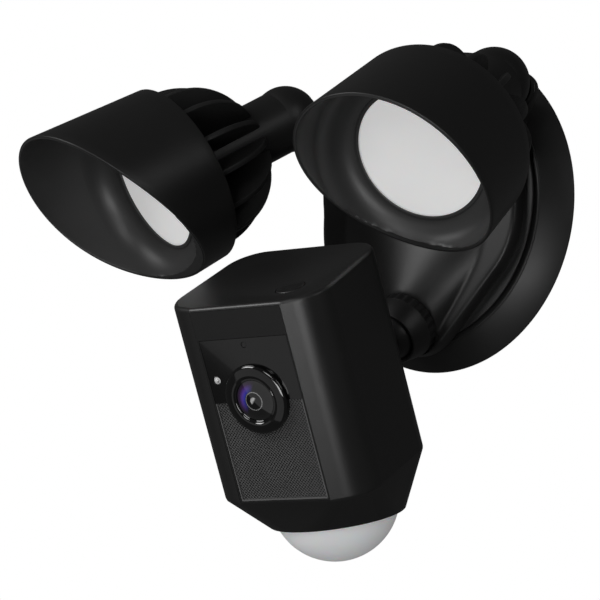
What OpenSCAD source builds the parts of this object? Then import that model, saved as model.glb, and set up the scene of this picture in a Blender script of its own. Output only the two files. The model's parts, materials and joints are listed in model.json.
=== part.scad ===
// Wall floodlight with two aimable lamps and a security camera head on a ball joint.
// Frame: the wall is the plane Y = 0, the front faces -Y, +Z is up, +X is to the right from the front.

/* [Base] */
// Radius of the base where it meets the wall
base_r = 78.5; // [70:0.5:95]
// Radius of the base rim at its front edge
rim_r = 67.6; // [62:0.1:69]
// Depth of the conical rim
rim_depth = 12.7; // [9:0.1:18]
// Depth of the flat front of the base
base_depth = 22; // [19:0.5:30]
// Wall thickness of the base mouldings
base_wall = 2.4; // [1.6:0.1:3.2]
// Width of the groove between rim and front cover
groove_w = 2.2; // [1.2:0.1:3]

/* [Knuckles] */
// Half the distance between the two lamp pivots
pivot_x = 65.4; // [62:0.1:76]
// Distance of the lamp pivots from the wall
pivot_y = 43.9; // [42:0.1:56]
// Height of the lamp pivots above the base centre
pivot_z = 47.5; // [44:0.1:56]
// Radius of the round end of the arm
knuckle_r = 16.5; // [15:0.1:19]
// Radius of the swivel turret
turret_r = 8.6; // [8:0.1:9.5]
// Thickness of the turret tongue between the arm ears
tongue_t = 9; // [6:0.1:11]
// Radius of the knuckle pin
pin_r = 3; // [2:0.1:4]

/* [Lamps] */
// Radius of the arm tube
arm_r = 15.8; // [13:0.1:16.2]
// Distance from pivot to the rear edge of the hood
lamp_reach = 63.7; // [62:0.1:85]
// Radius of the hood at its rear edge
hood_r = 45; // [42:0.1:56]
// Growth of the hood radius over each 50 mm of length
hood_flare = 2.7; // [0:0.1:5]
// Wall thickness of the hood
hood_wall = 1.8; // [1.4:0.1:2.6]
// Length of the hood along its long side
hood_long = 61.5; // [52:0.1:75]
// Length of the hood along its short side
hood_short = 18.5; // [16:0.1:24]
// Length of the hood half way between its two sides
hood_mid = 45.4; // [38:0.1:52]
// Radius of the lamp lens
lens_r = 31.3; // [26:0.1:36]
// Distance of the lens edge in front of the rear edge of the hood
lens_seat = 15.4; // [12:0.1:16.5]
// Depth of the cooling fins behind the hood
fin_depth = 45; // [42:0.5:47]
// Radius of the round back of the cooling fins
fin_r = 40.5; // [36:0.5:42]
// Thickness of one cooling fin
fin_t = 2.8; // [1.6:0.1:3.4]
// Number of cooling fins
fin_count = 14; // [8:1:16]

/* [Camera head] */
// Width of the head
head_w = 82; // [76:0.5:98]
// Depth of the head
head_d = 69.7; // [68.5:0.1:84]
// Height of the top of the head above the panel centre, at the front
head_top = 47.6; // [46:0.1:58]
// Depth of the front panel bottom below the panel centre
head_low = 45.4; // [45:0.1:54]
// Depth of the dome rim below the panel centre
head_rim = 67; // [64:0.1:80]
// Rise of the top face for each millimetre of depth
top_slope = 0.06; // [0:0.01:0.14]
// Width of the face plate
face_w = 48.6; // [44:0.1:52]
// Wall thickness of the head shell
head_wall = 2.2; // [1.6:0.1:3]
// Radius of the motion sensor dome
dome_r = 28; // [22:0.1:29]
// Drop of the motion sensor dome below its rim
dome_drop = 20.2; // [14:0.1:26]
// Travel of the setup button
button_travel = 1; // [0.5:0.1:1.5]

/* [Ball joint] */
// Radius of the ball
ball_r = 12; // [10:0.1:13]
// Radius of the ball stem
stem_r = 4.5; // [3.5:0.1:5]
// Distance of the ball centre from the wall
ball_y = 36.2; // [34:0.1:45]
// Drop of the ball centre below the base centre
ball_z = 63.1; // [58:0.1:68]
// Downward slant of the socket
socket_slant = 36; // [25:1:40]
// Distance from ball centre to the front of the face plate
stem_reach = 117.7; // [110:0.1:150]
// Radius of the scalloped grip of the clamp ring
grip_r = 16.2; // [16:0.1:18]

/* [Fits] */
// Gap round parts that turn inside each other
turn_gap = 0.35; // [0.3:0.05:0.5]
// Radial clearance of pins and spigots in their bores
pin_gap = 0.05; // [0.02:0.01:0.1]
// Gap between mouldings that are fixed together
seat_gap = 0.15; // [0.1:0.05:0.3]

/* [Hidden] */
$fn = 72;
LEFT = 0;
RIGHT = 1;
side = [-1, 1];
swivel = [33.6, -13.9];
tilt = [37.4, 35.0];
roll = [-54.6, 39.8];
head_yaw = 7.7;
head_pitch = 26.5;
ball_drop = -8.4;
eps = 0.01;

// Base levels, as distances from the wall
gasket_t = 3;
plate_y1 = gasket_t + base_wall;
recess_r = base_r - 5.5;
cover_y0 = rim_depth + 1.2;
cover_y1 = rim_depth + 2.4;
cover_in_r = 52;
groove_step = 3.2;
post_angles = [45, 135, 225, 315];
post_ring_r = 46;
bracket_t = 2;
bracket_l = 112;
bracket_w = 24;
bracket_pitch = 83;
bracket_screw_x = 22;
bracket_screw_r = 2;
turret_t = 2.2;
spigot_l = 4.4;
boss_y = pivot_y - knuckle_r - 2*turn_gap - turret_t;
neck_y0 = boss_y - spigot_l - 1.6;
neck_x = pivot_x - 20;
neck_z = pivot_z - 14;
neck_r = 13;
turret_y0 = boss_y + turn_gap;
turret_y1 = pivot_y - knuckle_r - turn_gap;
spigot_r = 5.5;
board_y = 9.5;
shoulder_r = turret_r + 0.2;
chin_r = 26;

// Knuckle
tongue_r = 9;
tongue_h = 10;
slot_w = tongue_t + 2*turn_gap;
tilt_down = 20;
tilt_up = 35;
slot_margin = 35;
pin_half = 15.4;

// Lamp levels along the lamp axis, measured from the pivot
plate_t = 5;
plate_z = lamp_reach - 1;
hub_r = 12;
hub_h = 7;
arm_end = plate_z - 9;
arm_spigot_r = 8.5;
fin_z0 = lamp_reach - fin_depth;
hood_l = hood_long + 12;
lens_z = lamp_reach + lens_seat;
lens_t = 3.2;
led_z = plate_z + plate_t;
led_n = 8;
led_ring_r = 18;
hood_in = hood_r - hood_wall;
lens_rise = 2.2;
lens_ball = (lens_r*lens_r + lens_rise*lens_rise)/(2*lens_rise);
reflector_h = lens_z - lens_t - 1.6 - led_z;
bezel_z0 = lens_z - 6;
bezel_screw_ring = (lens_r + hood_in)/2 + 0.6;

// Circle through the three points that fix the slanted edge of the hood
function edge_circle(r, a, b, c) =
    let (d1 = [r, (a - c)], d2 = [-r, (b - c)],
         s1 = (d1*d1)/2, s2 = (d2*d2)/2,
         det = d1[0]*d2[1] - d1[1]*d2[0])
    [(s1*d2[1] - s2*d1[1])/det, c + (d1[0]*s2 - d2[0]*s1)/det];
edge_c = edge_circle(hood_r, hood_long, hood_short, hood_mid);
edge_r = norm([edge_c[0], hood_mid - edge_c[1]]);

// Head levels
corner_r = 16.5;
back_w = head_w - 3.5;
back_corner = 16;
front_y = 1;
panel_top = 32.6;
panel_split = 3;
panel_low = 43.9;
panel_w = face_w - 0.6;
eye_z = 4.3;
eye_r = 16;
dome_y = 35.6;
rim_tilt = 10;
rim_ring_r = dome_r + 1.65;
dome_ball = (dome_r*dome_r + dome_drop*dome_drop)/(2*dome_drop);
button_x = 20;
button_y = 17;
button_r = 6.5;
stem_back = head_d + turn_gap;
stem_spigot_r = 5;
standoff_x = 19;
standoff_z = [29, -41];
board_front = 12;
speaker_z = -26;
led_x = 19.3;
led_z_head = 13.8;
sensor_z = 29.5;
rim_out_r = dome_r + 3.5;

// Ball joint levels along the socket axis, measured from the ball centre
shoe_t = 1.2;
shoe_t0 = ball_r - 1.6;
seat_r = ball_r + shoe_t + 2*turn_gap;
socket_r = seat_r + 0.7;
socket_t1 = -4.8;
lip_r = ball_r + turn_gap;
mouth_r = ball_r - 0.6;
mouth_t = sqrt(lip_r*lip_r - mouth_r*mouth_r);
grip_t0 = -10.6;
grip_t1 = -5;

// Placement helpers
module at_turret(s) translate([side[s]*pivot_x, -pivot_y, pivot_z]) rotate([0, swivel[s], 0]) children();
module at_arm(s) at_turret(s) rotate([tilt[s] + 90, 0, 0]) children();
module at_lamp(s) at_turret(s) rotate([tilt[s], 0, 0]) rotate([0, roll[s], 0]) rotate([90, 0, 0]) children();
module at_socket() translate([0, -ball_y, -ball_z]) rotate([90 + socket_slant, 0, 0]) children();
module at_ball() translate([0, -ball_y, -ball_z]) rotate([0, 0, head_yaw])
    rotate([head_pitch, 0, 0]) children();
module at_head() at_ball() translate([0, -stem_reach, -ball_drop]) children();
module at_rim() translate([0, dome_y, -head_rim]) rotate([-rim_tilt, 0, 0]) children();
module from_wall(y) translate([0, -y, 0]) rotate([90, 0, 0]) children();
module wall_ring(y0, y1, r_out, r_in) from_wall(y0) linear_extrude(y1 - y0) difference() {
    circle(r_out);
    circle(r_in);
}
module screw(d, l, head_d, head_h) {
    cylinder(h = l, r = d/2);
    translate([0, 0, l - eps]) difference() {
        cylinder(h = head_h, r = head_d/2);
        translate([0, 0, head_h*0.5]) cylinder(h = head_h, r = head_d/4, $fn = 6);
    }
}

// Shield outline of the front cover, shrunk by inset
module shield(inset = 0) hull() {
    for (s = side) translate([s*(pivot_x - 21), pivot_z - 10]) circle(18 - inset);
    for (s = side) translate([s*22, -8]) circle(38 - inset);
    translate([0, -base_r + chin_r + 6]) circle(chin_r - inset);
}

// Base
module bracket_slot(l, r) {
    for (s = side) translate([s*(l/2 - r), 0]) circle(r);
    square([l - 2*r, 2*r], center = true);
}
module mounting_bracket() color("silver") from_wall(0) linear_extrude(bracket_t) difference() {
    square([bracket_l, bracket_w], center = true);
    for (s = side) translate([s*bracket_pitch/2, 0]) bracket_slot(14, 2.6);
    for (s = side) translate([s*bracket_screw_x, 0]) circle(bracket_screw_r + pin_gap);
}
module bracket_screws() color("gold") for (s = side)
    translate([s*bracket_screw_x, 0, 0]) from_wall(0.2) screw(2*bracket_screw_r, plate_y1 + 0.4, 9, 3);
module wall_gasket() color("dimgray") wall_ring(0, gasket_t - seat_gap, recess_r - 0.5, recess_r - 9);
module rear_housing() color("#1a1a1b") difference() {
    from_wall(0) cylinder(h = rim_depth, r1 = base_r, r2 = rim_r);
    from_wall(-1) cylinder(h = gasket_t + 1, r = recess_r);
    from_wall(plate_y1) cylinder(h = rim_depth, r1 = recess_r - 2.5, r2 = recess_r - 2.5 - (base_r - rim_r));
    from_wall(0) cylinder(h = rim_depth + 1, r = 16);
    for (s = side) translate([s*bracket_screw_x, 0, 0]) from_wall(0)
        cylinder(h = 8, r = bracket_screw_r + 0.3);
    for (a = post_angles) rotate([0, a, 0]) translate([post_ring_r, 0, 0]) from_wall(0)
        cylinder(h = 8, r = 2);
    at_socket() cylinder(h = 90, r = socket_r + 2*seat_gap, center = true);
}
module front_cover() color("#262627") difference() {
    union() {
        wall_ring(cover_y0, cover_y1, rim_r - groove_w, cover_in_r);
        wall_ring(cover_y0 - groove_step, cover_y0 + eps, rim_r - groove_w - 2, cover_in_r);
        from_wall(cover_y0) linear_extrude(base_depth - cover_y0) shield();
        for (s = side) shoulder(s);
        chin_boss();
        for (a = post_angles) rotate([0, a, 0]) translate([post_ring_r, 0, 0]) from_wall(plate_y1 + seat_gap)
            cylinder(h = cover_y1 - plate_y1, r = 4.5);
    }
    from_wall(cover_y0 - groove_step - 1) linear_extrude(base_depth - base_wall - cover_y0 + groove_step + 1)
        difference() {
            shield(base_wall);
            for (a = post_angles) rotate(-a) translate([post_ring_r, 0]) circle(4.5);
            translate([0, -ball_z + 4]) circle(socket_r + 3.6);
            for (s = side) translate([s*pivot_x, pivot_z]) circle(shoulder_r + 2);
        }
    for (s = side) translate([s*pivot_x, 0, pivot_z]) {
        from_wall(boss_y - spigot_l - seat_gap) cylinder(h = spigot_l + 1, r = spigot_r + pin_gap);
        from_wall(boss_y) cylinder(h = 20, r = turret_r + 1);
    }
    for (a = post_angles) rotate([0, a, 0]) translate([post_ring_r, 0, 0]) from_wall(0)
        cylinder(h = 14, r = 1.5);
    at_socket() cylinder(h = 90, r = socket_r + seat_gap, center = true);
    at_socket() translate([0, 0, grip_t0 - turn_gap]) cylinder(h = 60, r = grip_r + 1);
}
// Neck that carries one knuckle out past the edge of the shield
module shoulder(s) hull() {
    translate([s*pivot_x, 0, pivot_z]) from_wall(neck_y0)
        cylinder(h = boss_y - neck_y0, r1 = shoulder_r - 2, r2 = shoulder_r, $fn = 48);
    translate([s*neck_x, 0, neck_z]) from_wall(rim_depth + 2)
        cylinder(h = base_depth - rim_depth - 2.6, r = neck_r, $fn = 32);
}
// Mound that rises from the shield to the slanted seat of the camera's ball joint
module chin_boss() intersection() {
    hull() {
        at_socket() translate([0, 0, grip_t0 - turn_gap - 1.05]) cylinder(h = 1, r = socket_r + 1.6);
        translate([0, 0, -6]) from_wall(base_depth - 1.1) cylinder(h = 1, r = 46);
        translate([0, 0, -base_r + chin_r + 8]) from_wall(base_depth - 3) cylinder(h = 1, r = chin_r - 4);
    }
    from_wall(rim_depth + 0.2) cylinder(h = 60, r = base_r + 10);
}
module cover_screws() color("silver") for (a = post_angles) rotate([0, a, 0]) translate([post_ring_r, 0, 0])
    from_wall(plate_y1 - base_wall - 1.6) union() {
        cylinder(h = 1.6, r = 3);
        cylinder(h = 11, r = 1.5 - pin_gap);
    }
module driver_board() color("darkgreen") from_wall(board_y) linear_extrude(1.6) difference() {
    square([70, 46], center = true);
    circle(9);
    for (s = side) translate([s*31, 0]) circle(1.6);
}
module power_module() color("#303034") {
    translate([14, -board_y - 1.6 - seat_gap - 3.5, 12]) cube([28, 7, 18], center = true);
    for (i = [0:2]) translate([-12 - 8*i, -board_y - 1.6 - seat_gap, 14]) rotate([90, 0, 0])
        cylinder(h = 7, r = 3.4);
}
module terminal_block() color("#2f6f3a") translate([6, -board_y - 1.6 - seat_gap - 3.5, -16]) difference() {
    cube([30, 7, 9], center = true);
    for (i = [-1:1]) translate([9*i, 0, 0]) rotate([90, 0, 0]) cylinder(h = 12, r = 2.2, center = true);
}
module siren() color("#111111") translate([-24, 0, -17]) from_wall(board_y + 1.6 + seat_gap) difference() {
    cylinder(h = 7, r = 8);
    translate([0, 0, 3]) cylinder(h = 5, r = 2);
}

// Ball joint
module camera_socket() color("#202021") at_socket() difference() {
    translate([0, 0, -21]) cylinder(h = 21 + socket_t1, r = socket_r);
    sphere(seat_r);
    translate([0, 0, -30]) cylinder(h = 30, r = 5);
}
module scallops(n, r_out, r_cut, depth) difference() {
    circle(r_out);
    for (i = [0:n - 1]) rotate(i*360/n) translate([r_out + r_cut - depth, 0]) circle(r_cut);
}
module clamp_ring() color("#1c1c1d") at_socket() difference() {
    union() {
        translate([0, 0, grip_t0]) linear_extrude(grip_t1 - grip_t0) scallops(24, grip_r, 2.2, 0.7);
        translate([0, 0, grip_t1 - eps])
            cylinder(h = mouth_t - grip_t1 + 1.2, r1 = grip_r + 0.2, r2 = mouth_r + 1.9);
    }
    translate([0, 0, grip_t0 - 1]) cylinder(h = socket_t1 + turn_gap - grip_t0 + 1, r = socket_r + turn_gap);
    sphere(lip_r);
    cylinder(h = mouth_t + 4, r = mouth_r);
    translate([0, 0, mouth_t]) cylinder(h = 4, r1 = mouth_r, r2 = mouth_r + 4);
}
module ball_shoe() color("#3a3a3c") at_socket() difference() {
    intersection() {
        sphere(ball_r + turn_gap + shoe_t);
        translate([0, 0, -20 - shoe_t0]) cylinder(h = 20, r = 20);
    }
    sphere(ball_r + turn_gap);
    cylinder(h = 60, r = 4, center = true);
}
module ball_stem() color("#161616") at_ball() {
    sphere(ball_r);
    rotate([90, 0, 0]) cylinder(h = stem_reach - stem_back - 16 + eps, r = stem_r);
    translate([0, stem_back - stem_reach + 16, 0]) rotate([90, 0, 0])
        cylinder(h = 16 - eps, r1 = stem_r, r2 = 10);
    translate([0, stem_back - stem_reach + eps, 0]) rotate([90, 0, 0]) cylinder(h = 9, r = stem_spigot_r);
}

// Lamp knuckle and arm
module turret(s) color("#1b1b1c") at_turret(s) difference() {
    union() {
        translate([0, pivot_y, 0]) {
            from_wall(turret_y0) cylinder(h = turret_y1 - turret_y0, r = turret_r);
            from_wall(boss_y - spigot_l) cylinder(h = turret_y1 - boss_y + spigot_l - eps, r = spigot_r);
        }
        rotate([0, 90, 0]) cylinder(h = tongue_t, r = tongue_r, center = true);
        translate([0, (pivot_y - turret_y1)/2 + eps, 0])
            cube([tongue_t, pivot_y - turret_y1, tongue_h], center = true);
    }
    rotate([0, 90, 0]) cylinder(h = 30, r = pin_r + pin_gap, center = true);
}
module knuckle_pin(s) color("silver") at_arm(s) rotate([0, 90, 0]) {
    cylinder(h = 2*pin_half, r = pin_r, center = true);
}
// Wedge of a thin disc, from angle a0 to a1 measured from the rear of the arm towards its lower side
module slot_wedge(a0, a1, r, w) rotate([0, 90, 0]) linear_extrude(w, center = true)
    polygon(concat([[0, 0]], [for (i = [0:8]) let (a = a0 + (a1 - a0)*i/8) [r*cos(a), -r*sin(a)]]));
module arm(s) color("#1b1b1c") at_arm(s) difference() {
    union() {
        sphere(knuckle_r);
        cylinder(h = arm_end, r = arm_r);
        cylinder(h = arm_end + hub_h + 3, r = arm_spigot_r);
    }
    rotate([0, 90, 0]) cylinder(h = slot_w, r = tongue_r + turn_gap, center = true);
    slot_wedge(tilt[s] - tilt_up - slot_margin, tilt[s] + tilt_down + slot_margin, 2*knuckle_r, slot_w);
    rotate([0, 90, 0]) cylinder(h = 2*pin_half + 1, r = pin_r + pin_gap, center = true);
    translate([0, 0, 13]) cylinder(h = arm_end + 20, r = 4.5);
}
module retaining_nut(s) color("silver") at_lamp(s) translate([0, 0, arm_end + hub_h + seat_gap])
    difference() {
    cylinder(h = 3, r = 11.5);
    translate([0, 0, -1]) cylinder(h = 6, r = arm_spigot_r);
}

// Lamp
module fin_envelope() translate([0, 0, fin_z0]) rotate_extrude() intersection() {
    union() {
        translate([0, fin_r]) circle(fin_r);
        translate([0, fin_r]) square([fin_r, fin_depth]);
    }
    square([fin_r, plate_z - fin_z0]);
}
module heat_sink(s) color("#1d1d1e") at_lamp(s) difference() {
    union() {
        intersection() {
            fin_envelope();
            for (i = [0:fin_count - 1]) rotate(i*360/fin_count)
                translate([0, -fin_t/2, fin_z0 - 1]) cube([fin_r + 1, fin_t, plate_z - fin_z0 + 2]);
        }
        translate([0, 0, plate_z - eps]) cylinder(h = plate_t, r = hood_in - seat_gap);
        translate([0, 0, arm_end + turn_gap]) cylinder(h = plate_z - arm_end - turn_gap, r = hub_r + 5);
    }
    translate([0, 0, fin_z0 - 5]) cylinder(h = arm_end + turn_gap - fin_z0 + 5, r = arm_r + turn_gap);
    cylinder(h = plate_z + 20, r = arm_spigot_r + pin_gap);
    translate([0, 0, arm_end + hub_h]) cylinder(h = 20, r = 12);
}
module hood(s) color("#191919") at_lamp(s) intersection() {
    difference() {
        translate([0, 0, lamp_reach]) cylinder(h = hood_l, r1 = hood_r, r2 = hood_r + hood_flare*hood_l/50);
        translate([0, 0, lamp_reach - 1]) cylinder(h = hood_l + 2, r1 = hood_in - hood_flare/50,
            r2 = hood_in + hood_flare*(hood_l + 1)/50);
    }
    translate([0, edge_c[0], lamp_reach + edge_c[1]]) rotate([0, 90, 0])
        cylinder(h = 200, r = edge_r, center = true, $fn = 180);
}
module led_board(s) color("#d8d4c0") at_lamp(s) translate([0, 0, led_z + seat_gap]) {
    difference() {
        cylinder(h = 1.6, r = lens_r - 3);
        translate([0, 0, -1]) cylinder(h = 4, r = 3);
    }
    for (i = [0:led_n - 1]) rotate(i*360/led_n) translate([led_ring_r, 0, 1.6 - eps])
        cube([5, 5, 1], center = true);
}
module reflector(s) color("whitesmoke") at_lamp(s) translate([0, 0, led_z + seat_gap]) difference() {
    cylinder(h = reflector_h, r1 = lens_r - 0.5, r2 = lens_r + 1);
    translate([0, 0, -eps]) cylinder(h = reflector_h + 1, r1 = lens_r - 2.5, r2 = lens_r - 1);
}
module lens_gasket(s) color("black") at_lamp(s) translate([0, 0, lens_z - lens_t - 1.4]) difference() {
    cylinder(h = 1.2, r = lens_r + 1);
    translate([0, 0, -1]) cylinder(h = 4, r = lens_r - 1.8);
}
module lens(s) color("#e2e2e2") at_lamp(s) translate([0, 0, lens_z - lens_t])
    rotate_extrude() intersection() {
    square([lens_r, lens_t + lens_rise]);
    translate([0, lens_t + lens_rise - lens_ball]) circle(lens_ball, $fn = 256);
}
module bezel(s) color("#1f1f20") at_lamp(s) difference() {
    translate([0, 0, bezel_z0]) cylinder(h = lens_z + 1.6 - bezel_z0, r = hood_in - 0.25);
    translate([0, 0, bezel_z0]) cylinder(h = 20, r = lens_r - 1.2);
    translate([0, 0, bezel_z0 - 1]) cylinder(h = lens_z + 1.35 - bezel_z0, r = lens_r + seat_gap);
    translate([0, 0, bezel_z0 - 1]) cylinder(h = lens_z - lens_t - bezel_z0 + 0.9, r = lens_r + 2);
    for (i = [0:2]) rotate(60 + 120*i) translate([bezel_screw_ring, 0, bezel_z0 - 1])
        cylinder(h = 30, r = 1.5);
    translate([0, 0, bezel_z0 - 1]) difference() {
        cylinder(h = lens_z - 1.6 - bezel_z0, r = hood_in - 1.8);
        translate([0, 0, -1]) cylinder(h = 30, r = lens_r + 3.4);
        for (i = [0:2]) rotate(60 + 120*i) translate([bezel_screw_ring, 0, 0]) cylinder(h = 30, r = 3);
    }
}
module bezel_screws(s) color("silver") at_lamp(s) for (i = [0:2]) rotate(60 + 120*i)
    translate([bezel_screw_ring, 0, bezel_z0 + 0.4])
        cylinder(h = lens_z + 0.8 - bezel_z0 - 0.2, r = 1.5 - pin_gap);

// Camera head
function arc(c, r, a0, a1, n = 14) = [for (i = [0:n]) let (a = a0 + (a1 - a0)*i/n) c + r*[cos(a), sin(a)]];
// Half outline of the head seen from above, from the front round to the back
function head_half(inset) =
    let (c1 = [head_w/2 - corner_r, front_y + corner_r], c2 = [back_w/2 - back_corner, head_d - back_corner],
         d = c2 - c1, r1 = corner_r - inset, r2 = back_corner - inset,
         a = atan2(d[1], d[0]) - 90 + asin((r1 - r2)/norm(d)))
    concat([[face_w/2, inset]], arc(c1, r1, -86, a), arc(c2, r2, a, 90));
module head_section(inset = 0) {
    half = head_half(inset);
    polygon(concat(half, [for (i = [len(half) - 1:-1:0]) [-half[i][0], half[i][1]]]));
}
module head_body(inset = 0, edge = 2) hull() {
    translate([0, 0, head_top - inset]) rotate([atan(top_slope), 0, 0]) {
        translate([0, 0, -1]) linear_extrude(1) head_section(inset + edge);
        translate([0, 0, -edge - 1]) linear_extrude(1) head_section(inset);
    }
    translate([0, 0, -head_low + inset]) linear_extrude(1) head_section(inset);
    at_rim() translate([0, 0, inset*2]) cylinder(h = 1, r = rim_out_r - inset);
}
module face_cut(gap = 0) translate([0, 0, (panel_top + head_top - 1.4 - panel_low - 0.8 - panel_top)/2])
    cube([face_w - 2*gap, 12, head_top - 1.4 + panel_low + 0.8 - 2*gap], center = true);
module head_shell() color("#1e1e1f") at_head() difference() {
    head_body();
    head_body(head_wall);
    face_cut();
    at_rim() translate([0, 0, -1]) cylinder(h = 12, r = rim_ring_r + seat_gap);
    translate([0, head_d - 10, ball_drop]) rotate([-90, 0, 0]) cylinder(h = 20, r = stem_spigot_r + pin_gap);
    on_top() translate([0, 0, -6]) cylinder(h = 10, r = button_r + turn_gap);
}
module on_top() translate([0, 0, head_top]) rotate([atan(top_slope), 0, 0])
    translate([button_x, button_y, 0]) children();
module face_plate() color("#242425") at_head() difference() {
    intersection() {
        face_cut(seat_gap);
        union() {
            translate([-50, 1.6, -60]) cube([100, 1.4, 120]);
            translate([-50, 0.05, panel_top + seat_gap]) cube([100, 1.6, 40]);
            translate([-50, 0.05, -60]) cube([100, 1.6, 60 - panel_low]);
            for (s = side) translate([s*(face_w/2 - 0.4), 0.85, 0]) cube([0.9, 1.6, 120], center = true);
            for (x = [-standoff_x, standoff_x], z = standoff_z) translate([x, 2.9, z]) rotate([-90, 0, 0])
                cylinder(h = board_front - 2.9 - seat_gap, r = 3);
        }
    }
    translate([0, 0, eye_z]) rotate([90, 0, 0]) cylinder(h = 20, r = eye_r - 2, center = true);
    translate([0, 0, speaker_z]) rotate([90, 0, 0]) cylinder(h = 20, r = 13, center = true);
    for (x = [-standoff_x, standoff_x], z = standoff_z) translate([x, 4.5, z]) rotate([-90, 0, 0])
        cylinder(h = 20, r = 1.25);
    translate([-led_x, 0, led_z_head]) rotate([90, 0, 0]) cylinder(h = 20, r = 1.9, center = true);
    translate([0, 0, sensor_z]) rotate([90, 0, 0]) cylinder(h = 20, r = 1.4, center = true);
}
module lens_window() color("#0b0b0c") at_head() difference() {
    translate([-panel_w/2 + 0.75, 0.2, panel_split + 0.1])
        cube([panel_w - 1.5, 1.25, panel_top - panel_split - 0.2]);
    translate([0, 0, eye_z]) rotate([90, 0, 0]) cylinder(h = 20, r = eye_r + 0.15, center = true);
    translate([-led_x, 0, led_z_head]) rotate([90, 0, 0]) cylinder(h = 20, r = 1.9, center = true);
    translate([0, 0, sensor_z]) rotate([90, 0, 0]) cylinder(h = 20, r = 1.4, center = true);
}
module speaker_grille() color("#141415") at_head() difference() {
    translate([-panel_w/2 + 0.75, 0.2, -panel_low + 0.15])
        cube([panel_w - 1.5, 1.25, panel_low + panel_split - 0.25]);
    translate([0, 0, eye_z]) rotate([90, 0, 0]) cylinder(h = 20, r = eye_r + 0.15, center = true);
}
module eye_housing() color("#121213") at_head() translate([0, 0, eye_z]) rotate([90, 0, 0]) difference() {
    union() {
        translate([0, 0, -8]) cylinder(h = 8, r = eye_r - 2.2);
        translate([0, 0, -1.45]) cylinder(h = 1.5 + 1.2, r = eye_r);
        translate([0, 0, 1.25]) cylinder(h = 2.2, r1 = eye_r, r2 = eye_r - 2.5);
    }
    translate([0, 0, -9]) cylinder(h = 20, r = 8);
    translate([0, 0, 1]) cylinder(h = 4, r1 = 8, r2 = eye_r - 3);
}
module lens_barrel() color("#1a1a1c") at_head() translate([0, 0, eye_z]) rotate([90, 0, 0]) difference() {
    translate([0, 0, -8]) cylinder(h = 9.6, r = 8 - 2*pin_gap);
    translate([0, 0, -3.5]) cylinder(h = 8, r = 6.6);
    translate([0, 0, -9]) cylinder(h = 20, r = 3.2);
}
module eye_lens() color("#20202c") at_head() translate([0, 0, eye_z]) rotate([90, 0, 0]) intersection() {
    translate([0, 0, -3.4]) cylinder(h = 6, r = 6.5);
    translate([0, 0, -6.6]) sphere(9);
}
module window_led() color("#e6e6ea") at_head() translate([-led_x, 0, led_z_head]) rotate([90, 0, 0]) {
    translate([0, 0, -4]) cylinder(h = 3.4, r = 1.7);
    translate([0, 0, -0.7]) sphere(1.1);
}
module light_sensor() color("#33333a") at_head() translate([0, 0, sensor_z]) rotate([90, 0, 0])
    translate([0, 0, -4])
    cylinder(h = 3.6, r = 1.2);
module main_board() color("darkgreen") at_head() difference() {
    union() {
        translate([-25, board_front, -46]) cube([50, 1.6, 80]);
        for (z = [-28, -6, 12]) translate([0, board_front + 1.5, z]) cube([16, 3, 12], center = false);
    }
    for (x = [-standoff_x, standoff_x], z = standoff_z) translate([x, 0, z]) rotate([-90, 0, 0])
        cylinder(h = 30, r = 1.5);
}
module speaker() color("#2c2c2e") at_head() translate([0, 0, speaker_z]) rotate([-90, 0, 0]) union() {
    translate([0, 0, 3.2]) cylinder(h = 3, r = 16);
    translate([0, 0, 6]) cylinder(h = 5, r = 9);
}
module stem_nut() color("silver") at_head() translate([0, head_d - head_wall - seat_gap, ball_drop])
    rotate([90, 0, 0])
    difference() {
    cylinder(h = 4, r = 9, $fn = 6);
    translate([0, 0, -1]) cylinder(h = 8, r = stem_spigot_r);
}
module setup_button() color("#2b2b2c") at_head() on_top() {
    translate([0, 0, -4]) cylinder(h = 4.3, r = button_r);
    translate([0, 0, -5.2]) cylinder(h = 1.3, r = button_r + 1.6);
    translate([0, 0, -7]) cylinder(h = 2, r = 2);
}
module button_switch() color("#8a8a8f") at_head() {
    on_top() translate([0, 0, -12]) {
        translate([-4, -3, 0]) cube([8, 8, 3]);
        cylinder(h = 5 - button_travel - 0.2, r = 1.8);
    }
    translate([button_x - 9, board_front + 1.6 + seat_gap, 28]) cube([5, 2, 6]);
    translate([button_x - 9, board_front + 1.6 + seat_gap, 32.4]) cube([13, 3, 5.2]);
}
module dome_ring() color("#171718") at_head() at_rim() difference() {
    cylinder(h = 5.5, r = rim_ring_r);
    translate([0, 0, -1]) cylinder(h = 4.2, r = dome_r + seat_gap);
    cylinder(h = 10, r = dome_r - 2);
}
module motion_dome() color("#c9ccd0") at_head() at_rim() difference() {
    union() {
        intersection() {
            translate([0, 0, dome_ball - dome_drop]) sphere(dome_ball);
            translate([0, 0, -dome_drop - 1]) cylinder(h = dome_drop + 1.5, r = dome_r);
        }
        cylinder(h = 3, r = dome_r);
    }
    translate([0, 0, dome_ball - dome_drop]) sphere(dome_ball - 1.4);
    translate([0, 0, 0]) cylinder(h = 4, r = dome_r - 2.2);
}
module motion_board() color("darkgreen") at_head() at_rim() translate([0, 0, 6]) cylinder(h = 1.6, r = 22);
module motion_sensors() color("silver") at_head() at_rim() for (a = [30, 150, 270])
    rotate(a) translate([11, 0, 1.5]) cylinder(h = 4.4, r = 4.5);
module head_screws() color("silver") at_head() for (x = [-standoff_x, standoff_x], z = standoff_z)
    translate([x, board_front + 1.75, z]) rotate([-90, 0, 0]) {
        cylinder(h = 1.4, r = 2.4);
        translate([0, 0, -8]) cylinder(h = 8 + eps, r = 1.2);
    }

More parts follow.
